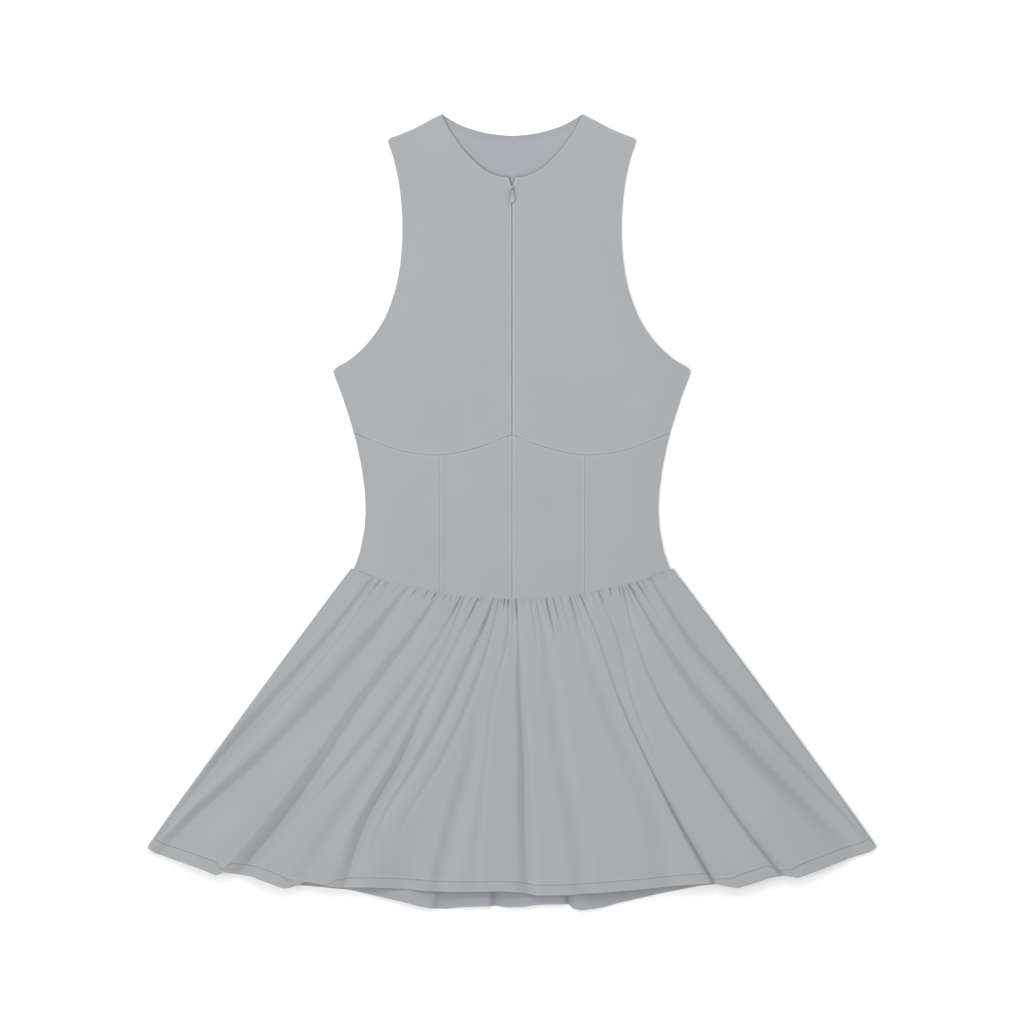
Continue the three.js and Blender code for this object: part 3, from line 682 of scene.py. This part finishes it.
# (across, up, lift) of the back's hem
backHem = [
    (-383.5, -352, 0), (-345, -367, 0), (-290, -380, 0), (-240, -392, 0), (-172.5, -398.2, 0),
    (-147, -403.3, 3.5), (-113.5, -411, 5), (-96.5, -415.6, 5), (-84, -417.5, 5), (-79, -418, 1),
    (-68, -418.5, 0), (-56, -416.5, 2.5), (-34, -415.5, 4), (-22.5, -415, 4.5), (-19, -415, 0),
    (-12, -416, 0.6), (-6, -416.5, 2.4), (12, -415.8, 4.5), (20, -414.2, 4.5), (36, -413.4, 4),
    (56, -413.1, 4), (59.8, -413.5, 0), (64.5, -418.5, 0.6), (74, -419.5, 3.5), (93.5, -417, 2.5),
    (114.5, -411.5, 1.5), (156.5, -402, 1), (199, -394, 0), (245, -390, 0), (300, -381, 0),
    (345, -367, 0), (383.5, -352, 0),
]
# Folds, each with: across at the seam, at the four stations and at the hem; depth at the same places;
# reach to the right and to the left, each near the seam and at the hem; sharpness of its foot
folds = [
    ((-145.5, -195, -251.5, -307.5, -359, -381), (2.4, 3.8, 4.6, 5.2, 3.6, 0.5), (9, 12), (9, 12), 0.3),
    ((-138.5, -183, -237, -295, -352, -378.5), (1, 1, 1, 0.8, 0.3, 0), (2.5, 3), (5, 8), 1),
    ((-108.5, -148, -203, -265.5, -337, -371), (2, 4.6, 5.4, 6.8, 7, 4), (20, 13), (16, 50), 0.25),
    ((-76, -108, -155.5, -197, -241, -287.5), (1.7, 3.4, 4.4, 6.6, 9.8, 8.5), (12, 20), (14, 26), 0.6),
    ((-53, -77.5, -121, -170.5, -226.5, -263), (1.2, 1.5, 2.3, 3, 3, 0.5), (8, 11), (9, 18), 0.3),
    ((-48, -66, -99.5, -140, -181, -221), (0.5, 1.1, 2.1, 2.7, 2.8, 2), (7, 26), (8, 22), 0),
    ((-35, -56.5, -89, -117, -152.5, -176.5), (1.2, 1.2, 3, 5.8, 7, 5), (9, 15), (8, 20), 0.6),
    ((-19, -35.5, -63.5, -97.5, -137.5, -164), (1.4, 2.6, 3.2, 2.6, 2, 0.5), (8, 10), (6, 12), 0.5),
    ((-13, -23, -44.5, -74.5, -112.5, -139), (0.7, 1.6, 2.3, 2.2, 1.2, 0), (6, 8), (5, 9), 0.5),
    ((-11.5, -20, -40, -62, -88, -112), (0, 0, 0, 0.6, 2.4, 7.5), (10, 42), (8, 40), 0),
    ((-10, -17.5, -32, -41.5, -59.5, -78.5), (0, 0, 0.8, 3.2, 4.8, 6), (7, 24), (8, 22), 0.1),
    ((-3, -5, -20.5, -28, -33, -39.5), (0.7, 1.1, 0.8, 0.9, 1.2, 1), (4, 12), (4, 8), 0.1),
    ((4, 7.5, 9.5, 13, 14, 17.5), (1, 1.5, 4.1, 5.1, 5.5, 5), (4, 14), (5, 15), 0.6),
    ((27, 36.5, 46, 53.5, 68, 75.5), (0.6, 1.5, 2.1, 2, 2.6, 2.2), (13, 17), (10, 17), 0),
    ((60.5, 75.5, 99.5, 128, 155.5, 166), (0.9, 1.5, 2.4, 2.8, 2.8, 3), (8, 26), (8, 26), 0.1),
    ((71, 92.5, 114.5, 142.5, 174.5, 212.5), (1.1, 1.4, 2.2, 3.3, 5.5, 5.6), (4, 4.5), (9, 18), 0.9),
    ((90.5, 112.5, 128, 153.5, 188.5, 227.5), (0.8, 1.3, 1, 0.8, 0.3, 0), (4, 5), (5, 8), 0.5),
    ((115.5, 131.5, 158.5, 197.5, 240, 284.5), (0.7, 1, 2.2, 3.1, 4.4, 5), (4, 5), (9, 19), 0.8),
    ((122.5, 161, 208.5, 266, 334, 363.5), (1.6, 3.4, 5.8, 6.8, 5.8, 2.5), (5, 24), (12, 20), 0.35),
    ((131, 171.5, 222, 278, 348.5, 376), (0.9, 0.7, 0.7, 0.6, 0.4, 0), (2.5, 3), (5, 6), 1),
    ((145.5, 190.5, 246, 305, 362.5, 381.5), (1.8, 4, 4.4, 5.8, 4, 0.5), (8, 13), (20, 14), 0.4),
]
# Gathers under the seam: across, length, depth
gathers = [
    (-163.5, 13, 0.5), (-153.5, 6, 0.3), (-150, 6, 0.3), (-145.5, 5, 0.7), (-138.5, 9, 1.6),
    (-130.8, 8, 1.1), (-128, 26, 0.4), (-124, 6, 0.3), (-119, 10, 0.4), (-116.5, 6, 0.4),
    (-112, 5, 0.3), (-108.5, 8, 1), (-100, 12, 1), (-95, 6, 0.3), (-88, 10, 0.8), (-83, 5, 0.3),
    (-79, 10, 1.1), (-72, 11, 0.6), (-68.5, 10, 0.8), (-62, 11, 0.7), (-56.5, 6, 0.7), (-53, 26, 0.9),
    (-49.5, 45, 0.5), (-45, 5, 0.3), (-42, 14, 0.5), (-35, 24, 1), (-32.3, 5, 1), (-29.5, 55, 0.4),
    (-27.3, 10, 0.5), (-23, 5, 0.3), (-19, 44, 1), (-16, 6, 0.3), (-13.5, 10, 0.6), (-10.5, 7, 0.6),
    (-7.4, 11, 1.1), (-3.7, 11, 1.2), (0.5, 50, 0.4), (4, 22, 0.8), (6.4, 8, 0.5), (9.3, 5, 0.4),
    (12, 12, 0.4), (19, 55, 0.5), (21.4, 6, 0.7), (25.2, 34, 0.5), (31, 22, 0.4), (35.6, 40, 1.1),
    (38.3, 6, 0.5), (43.3, 40, 0.8), (51, 50, 0.5), (60.7, 32, 0.6), (65, 50, 0.4), (68.2, 9, 0.5),
    (71.3, 20, 1.1), (76.5, 14, 0.8), (80, 9, 0.5), (83, 16, 0.7), (87.5, 5, 1), (90.5, 14, 1),
    (94, 10, 0.5), (102.6, 9, 1.4), (107, 7, 0.4), (112.5, 16, 0.8), (116, 30, 0.5), (119.4, 45, 0.4),
    (122.5, 14, 1.1), (126, 5, 0.6), (131, 15, 1.2), (137, 18, 0.7), (142.4, 7, 0.7), (145.5, 10, 1),
    (149.5, 11, 0.6), (153, 14, 0.4), (158.3, 12, 0.5), (162, 9, 0.4),
]
# (share of the way down, how far the front stands over the back)
skirtRise = [(0, 2.2), (0.15, 5.2), (0.5, 9), (0.85, 11.5), (1, 12)]


def skirtTopAt(across):
    return skirtSeamAt(across) - gatherHalfGap


def foldLine(across, depths):  # rows of (up, across, depth) from the hem to the seam
    heights = (skirtTopAt(across[0]), *skirt["stations"], straightAt(frontHem, across[-1]))
    return sorted(zip(heights, across, depths))


# (share of the way down, how far the side edge bows out of the straight line)
sideBow = [(0, 0.6), (0.12, 1.3), (0.35, 1.8), (0.6, 1.6), (0.8, 1.3), (0.93, 0.8), (1, 0)]


def sideLine(side):
    return sorted((mix(skirt["sideTop"], skirt["hemSide"], down),
                   side * (mix(skirt["topHalf"], skirt["hemHalf"], down) + bow), 0)
                  for down, bow in sideBow)


# A place across the skirt is w: fold 1 has w = 1, and so on, with the side edges before and after them
foldLines = [sideLine(-1), *(foldLine(*fold[:2]) for fold in folds), sideLine(1)]


@lru_cache(maxsize=None)
def foldsAt(down):  # where each line lies at that share of the way down, with its depth
    return [[curveAt(line, mix(line[-1][0], line[0][0], down), column) for column in (1, 2)]
            for line in foldLines]


def acrossAt(w, down):
    before = min(int(w), len(foldLines) - 2)
    lines = foldsAt(down)
    return mix(lines[before][0], lines[before + 1][0], w - before)


def skirtColumns():  # w of each column of the mesh, with one on every fold
    columns = [0]
    for i in range(len(foldLines) - 1):
        seamSpan = foldLines[i + 1][-1][1] - foldLines[i][-1][1]
        hemSpan = foldLines[i + 1][0][1] - foldLines[i][0][1]
        count = max(2, round((hemSpan + 2 * seamSpan) / skirt["columnPitch"]))
        columns += [i + step / count for step in range(1, count + 1)]
    return columns


def troughAt(x, down):
    opened = mix(skirt["foldStarts"], 1, smooth(down / skirt["foldOpens"]))
    blend, total = skirt["foldBlend"], 0.0
    for (place, depth), fold in zip(foldsAt(down)[1:-1], folds):
        reaches = fold[3] if x > place else fold[2]
        share = abs(x - place) / (mix(*reaches, down) * opened)
        if share < 1:
            shape = mix(1 - smooth(share), (1 - share) ** 2, fold[4])
            total += max(0.0, depth * shape) ** blend
    return total ** (1 / blend)


@lru_cache(maxsize=None)
def gathersNear(seamX):
    near = []
    for across, length, depth in gathers:
        share = abs(seamX - across) / skirt["gatherHalf"]
        if share < 1:
            near.append((depth * (1 - share) ** skirt["gatherSharpness"], length))
    return near


def gatherAt(seamX, below):
    started = skirt["gatherDepth"] * smooth(below / skirt["gatherGrows"])
    depths = [depth * (1 - smooth(below / (length * skirt["gatherLength"])))
              for depth, length in gathersNear(seamX)]
    return started * max(depths, default=0.0)


def hemRelief(x, aboveHem):  # the turned hem, its stitched line and the puckers below it
    band = straightAt(hemBand, x)
    groove = skirt["hemGroove"] * (1 - smooth(abs(aboveHem - band) / skirt["hemGrooveHalf"]))
    underLine = smooth((band - aboveHem) / skirt["hemBandSlope"])
    pucker = waver(x, 0, skirt["puckerPitch"] / 2, 9) * smooth(aboveHem / band)
    reach, depth = skirt["hemRoll"]
    roll = depth * (1 - smooth(aboveHem / reach))
    return underLine * (skirt["hemBand"] + skirt["hemPucker"] * pucker) - groove - roll


# Painted highlight on the hem's fold, painted shade along its bottom edge and its stitched line.
def hemTone(x, aboveHem):
    reach, paintedHighlight = skirt["hemHighlight"]
    underEdge = 1 - smooth(aboveHem / skirt["hemRoll"][0])
    fromLine = abs(aboveHem - straightAt(hemBand, x))
    return (paintedHighlight * (1 - smooth(aboveHem / reach)) * (1 - underEdge)
            - skirt["hemEdgeShade"] * underEdge
            - skirt["hemLineShade"] * (1 - smooth(fromLine / skirt["hemGrooveHalf"])))


def skirtPoint(w, down):
    x, seamX, hemX = acrossAt(w, down), acrossAt(w, 0), acrossAt(w, 1)
    fromSide = min(x - acrossAt(0, down), acrossAt(len(folds) + 1, down) - x)
    stand = mix(skirt["seamStand"], skirt["hemStand"][int(x > 0)], down)
    rise = (stand * smooth(fromSide / skirt["edgeWall"])
            + (straightAt(skirtRise, down) - stand) * smooth(fromSide / mix(*skirt["edgeRound"], down)))
    below, aboveHem = down * skirt["length"], (1 - down) * skirt["length"]
    flatX = mix(seamX / skirt["topHalf"] * skirt["flatTop"] / 2,
                hemX / skirt["hemHalf"] * skirt["flatHem"] / 2, down)
    soft = skirt["softness"] * waver(flatX, below * skirt["softDown"], skirt["softSize"], 5)
    soft *= smooth(below / skirt["softGrows"])
    fromEnds = smooth(fromSide / skirt["gatherEnds"])
    started = smooth(below / skirt["foldGrows"])
    hollow = troughAt(x, down) * started + (gatherAt(seamX, below) - soft) * fromEnds
    inner = frontRest + max(0.0, rise - hollow)
    outer = inner + cut["thickness"] + hemRelief(x, aboveHem)
    y = mix(skirtTopAt(seamX), straightAt(frontHem, hemX), down)
    # tone: painted shade at the hem's edge, its stitched line and the side edge, painted highlight on the
    # hem's fold
    tone = hemTone(x, aboveHem) - skirt["edgeShade"] * (1 - smooth(fromSide / skirt["edgeWall"]))
    return x, y, outer, min(inner, outer - cut["thinnest"]), flatX, -below, tone


def skirtFront():
    down = steps([(0, 0.7), (4, 0.9), (22, 1.7), (60, 4.6), (286, 5), (296, 0.6), (301, 0.4), (306, 1.4),
                  (308.5, 0.5), (310, 0.4)])
    rows = [[skirtPoint(w, share) for w in skirtColumns()] for share in down]
    print("skirt front:", len(rows), "rows of", len(rows[0]))
    return clothPiece("skirtFront", rows, faceKnit, ["skirt_front"])


hemThread = {
    "aboveLine": 1.6,  # from the line pressed into the hem
    "pitch": 3.1, "stitch": (2.4, 0.85, 0.44),
}


def hemStitches():
    points = []
    for w in skirtColumns()[3:-3]:
        hemX = acrossAt(w, 1)
        down = 1 - (straightAt(hemBand, hemX) + hemThread["aboveLine"]) / skirt["length"]
        points.append(Vector(skirtPoint(w, down)[:3]))
    return stitchRow("hemStitches", points, hemThread)


backSkirt = {
    "columns": 300,
    "liftFrom": 0.78,  # share of the way down at which the hem's waves start
    "hemDepth": 11, "groove": 0.25,  # the stitched line
    "roll": (1.5, 0.4),  # reach and depth of the hem's rolled edge
}


def skirtBackPoint(hemX, down):
    seamX = hemX / skirt["hemHalf"] * skirt["topHalf"]
    top = skirtSeamAt(seamX) - halfGap
    y = mix(top, straightAt(backHem, hemX), down)
    lifting = smooth((down - backSkirt["liftFrom"]) / (1 - backSkirt["liftFrom"]))
    inner = max(0.0, curveAt(backHem, hemX, 2)) * lifting
    aboveHem = (1 - down) * skirt["length"]
    groove = backSkirt["groove"] * (1 - smooth(abs(aboveHem - backSkirt["hemDepth"])))
    reach, depth = backSkirt["roll"]
    rollIn = depth * (1 - smooth(aboveHem / reach))
    return mix(seamX, hemX, down), y, inner + cut["thickness"] - groove - rollIn, inner


def skirtBack():
    down = steps([(0, 5), (230, 5), (250, 2.4), (292, 2.4), (297, 0.9), (325, 0.9)])
    edge = backHem[-1][0]
    rows = []
    for share in down:
        row = []
        for s in even(backSkirt["columns"]):
            hemX = mix(-edge, edge, s)
            point = skirtBackPoint(hemX, share)
            flatX = (s - 0.5) * mix(skirt["flatTop"], skirt["flatHem"], share)
            row.append((*point, flatX, -share * skirt["length"], 0))
        rows.append(row)
    return clothPiece("skirtBack", rows, backKnit, ["skirt_back"])


# The zip

def zipNear(y):  # from the centre line to the coil's near side
    parting = partingAt(y)
    return (parting + zipSizes["notchHalf"]) / 2 if y > zipSizes["partingHeight"] else parting


def zipSide(side, word):
    top = zipSizes["topHeight"] - zipSizes["belowNeckline"]
    bottom = underBustAt(0) + zipSizes["aboveSeam"]
    heights = [mix(top, bottom, share) for share in steps([(0, 1), (20, 1), (40, 6), (271, 6)])]
    tapeUnder = frontRest + zipSizes["tapeLift"]
    tapeTop = tapeUnder + zipSizes["tapeThickness"]
    rows = []
    for y in heights:
        near = zipNear(y) + zipSizes["tapeFromEdge"]
        places = [near + zipSizes["tapeWidth"] * s for s in even(zipSizes["tapeColumns"])]
        row = [(side * place, y, tapeTop, tapeUnder, place, y, 0) for place in places]
        rows.append(row if side > 0 else row[::-1])
    clothPiece(f"zipTape{word}", rows, tapeCloth, [])
    long, wide, high = zipSizes["tooth"]
    bm = bmesh.new()
    for i in range(int((top - bottom) / zipSizes["toothPitch"])):
        y = top - (i + (0.5 if side > 0 else 0)) * zipSizes["toothPitch"]
        z = tapeTop + high / 2 - zipSizes["toothSunk"]
        place = Matrix.Translation(Vector((side * (zipNear(y) + wide / 2), y, z)) * mm)
        turn = Matrix.Rotation(-side * zipSizes["toothSlant"], 4, "Z")
        shape = Matrix.Diagonal((wide / 2 * mm, long / 2 * mm, high / 2 * mm, 1))
        bmesh.ops.create_icosphere(bm, subdivisions=2, radius=1, matrix=place @ turn @ shape)
    addPiece(f"zipTeeth{word}", bm, monofilament, nodes=[f"zip_coil_{word.lower()}"])


slider = {
    "hingeHeight": 341.3,
    "deckLength": 6.2, "deckWidth": 4.6, "deckThickness": 0.5, "deckRound": 0.16, "deckSides": 36,
    "neckWidth": 1.2, "neckLength": 4.4, "neckRound": 0.12,
    "bridgeWidth": 1.1, "bridgeInner": 0.95, "bridgeOuter": 1.75, "bridgeRound": 0.16, "bridgeSteps": 18,
    "tabLift": 0.9, "tabThickness": 1.0, "tabRound": 0.14, "tabPoints": 56,
    "tabBar": 0.5, "windowEnd": 2.05, "windowHalf": 0.85,  # the window behind the bar on the bridge
    "rimWidth": 0.42, "rimRise": 0.16,
}
deckUnder = frontRest + zipSizes["lift"] + cut["thickness"] + cut["layGap"]
hingeUp = deckUnder + slider["deckThickness"] + slider["tabLift"]


def shutSolid(bm, shift):  # a flat skin becomes a plate, its second face moved by shift
    return addThickness(bm, lambda vert: vert.co + shift * mm)


def zipSlider():
    whole = bmesh.new()
    deck = bmesh.new()
    bmesh.ops.create_circle(deck, cap_ends=True, segments=slider["deckSides"], radius=1)
    for vert in deck.verts:
        vert.co = Vector((vert.co.x * slider["deckWidth"] / 2, vert.co.y * slider["deckLength"] / 2, 0)) * mm
    bmesh.ops.translate(deck, verts=deck.verts,
                        vec=Vector((0, slider["hingeHeight"], deckUnder + slider["deckThickness"])) * mm)
    rim = shutSolid(deck, Vector((0, 0, -slider["deckThickness"])))
    roundEdges(deck, rim, slider["deckRound"], segments=3)
    neck = bmesh.new()
    tall = deckUnder - frontRest + slider["deckThickness"] / 2
    place = Matrix.Translation(Vector((0, slider["hingeHeight"], frontRest + tall / 2)) * mm)
    shape = Matrix.Diagonal((slider["neckWidth"] * mm, slider["neckLength"] * mm, tall * mm, 1))
    bmesh.ops.create_cube(neck, size=1, matrix=place @ shape)
    roundEdges(neck, neck.edges[:], slider["neckRound"])
    bridge = bmesh.new()
    bows = slider["bridgeSteps"]  # of the half ring, with one more for the foot at each end
    bmesh.ops.create_grid(bridge, x_segments=bows + 2, y_segments=1, size=0.5)
    foot = slider["tabLift"] + slider["deckThickness"] / 2
    for vert in bridge.verts:
        step = round((vert.co.x + 0.5) * (bows + 2))
        radius = slider["bridgeOuter"] if vert.co.y > 0 else slider["bridgeInner"]
        angle = math.pi * min(1, max(0, (step - 1) / bows))
        drop = foot if step in (0, bows + 2) else 0
        vert.co = Vector((slider["bridgeWidth"] / 2, slider["hingeHeight"] + radius * math.cos(angle),
                          hingeUp + radius * math.sin(angle) - drop)) * mm
    rim = shutSolid(bridge, Vector((-slider["bridgeWidth"], 0, 0)))
    roundEdges(bridge, rim, slider["bridgeRound"])
    for part in (deck, neck, bridge):
        mesh = bpy.data.meshes.new("sliderPart")
        part.to_mesh(mesh)
        part.free()
        whole.from_mesh(mesh)
        bpy.data.meshes.remove(mesh)
    return addPiece("zipSlider", whole, zinc, nodes=["zip_slider"])


tabHalf = [(1.2, 0.5), (1.6, -0.2), (1.6, -2.6), (1.75, -5), (2.4, -8), (2.8, -10.6), (2.45, -13.3),
           (1.3, -15.2), (0.01, -15.7)]  # (out, up) from the hinge axis


def loopOf(path, count):  # even points round a shape given by its right half, from the top middle
    half = count // 2
    right = [pointAt(path, i / half) for i in range(half + 1)]
    left = [Vector((-p.x, p.y, 0)) for p in right[1:-1]][::-1]
    return right + left


def zipPullTab():
    count = slider["tabPoints"]
    edge = measured([Vector((0, tabHalf[0][1], 0))] + [p for _, p in pathThrough(tabHalf)])
    half, foot, head = slider["windowHalf"], -slider["windowEnd"], -slider["tabBar"]
    window = measured([Vector(p) for p in ((0, head, 0), (half, head, 0), (half, foot, 0), (0, foot, 0))])
    bm = bmesh.new()
    for path in (edge, window):
        ring = bmesh.ops.create_circle(bm, segments=count, radius=1)["verts"]
        for vert, point in zip(ring, loopOf(path, count)):
            vert.co = point * mm
    bmesh.ops.bridge_loops(bm, edges=bm.edges[:])
    lift = Vector((0, slider["hingeHeight"], hingeUp + slider["tabThickness"] / 2)) * mm
    bmesh.ops.translate(bm, verts=bm.verts, vec=lift)
    rim = shutSolid(bm, Vector((0, 0, -slider["tabThickness"])))
    roundEdges(bm, rim, slider["tabRound"])
    flats = [face for face in bm.faces if abs(face.normal.z) > 0.99]
    bmesh.ops.inset_region(bm, faces=flats, thickness=slider["rimWidth"] * mm,
                           depth=-slider["rimRise"] * mm, use_even_offset=True)
    return addPiece("zipPullTab", bm, zinc, body="pull_tab", nodes=["zip_pull_tab"])


# Stage, light and camera

stageSettings = {
    "floorDrop": 0.2, "floorSize": 9000,
    "cameraAcross": 0, "cameraUp": 0.16, "cameraHeight": 3001, "lens": 100, "sensor": 36,
    "worldStrength": 0.8,
    # place, size and power of each softbox: the one at the left and the one above the neckline
    "softboxes": [((-4200, -1000, 4600), 2600, 128), ((0, 1150, 1500), 900, 8)],
}


def floor():
    bm = bmesh.new()
    bmesh.ops.create_grid(bm, x_segments=1, y_segments=1, size=stageSettings["floorSize"] / 2 * mm)
    bmesh.ops.translate(bm, verts=bm.verts, vec=(0, 0, -stageSettings["floorDrop"] * mm))
    addObject("floor", bm, floorPaint())


def lights():
    scene = bpy.context.scene
    world = bpy.data.worlds.new("studio")
    world.use_nodes = True
    world.node_tree.nodes["Background"].inputs["Color"].default_value = (1, 1, 1, 1)
    world.node_tree.nodes["Background"].inputs["Strength"].default_value = stageSettings["worldStrength"]
    scene.world = world
    for place, size, power in stageSettings["softboxes"]:
        lamp = bpy.data.lights.new("softbox", "AREA")
        lamp.size = size * mm
        lamp.energy = power
        box = bpy.data.objects.new("softbox", lamp)
        box.location = Vector(place) * mm
        box.rotation_mode = "QUATERNION"
        box.rotation_quaternion = (-box.location).to_track_quat("-Z", "Y")
        scene.collection.objects.link(box)
    scene.view_settings.view_transform = "Standard"


def camera():
    data = bpy.data.cameras.new("overhead")
    data.lens = stageSettings["lens"]
    data.sensor_width = stageSettings["sensor"]
    data.clip_start, data.clip_end = 0.1, 50
    overhead = bpy.data.objects.new("overhead", data)
    overhead.location = Vector((stageSettings["cameraAcross"], stageSettings["cameraUp"],
                                stageSettings["cameraHeight"])) * mm
    bpy.context.scene.collection.objects.link(overhead)
    bpy.context.scene.camera = overhead


floor()
lights()
camera()
print("stage ready")

back = bodiceBack()
skirtBehind = skirtBack()
print("back made")

for word, side in (("Right", -1), ("Left", 1)):
    front = bodiceFront(side, word)
    centrePanel = midriffCentre(side, word)
    channelStitches(side, word)
    sidePanel = midriffSide(side, word)
    zipSide(side, word)
    print(word.lower(), "side of the front and zip made")

skirtAhead = skirtFront()
hemStitches()
print("skirt front made")

zipSlider()
zipPullTab()
print("slider and pull tab made")
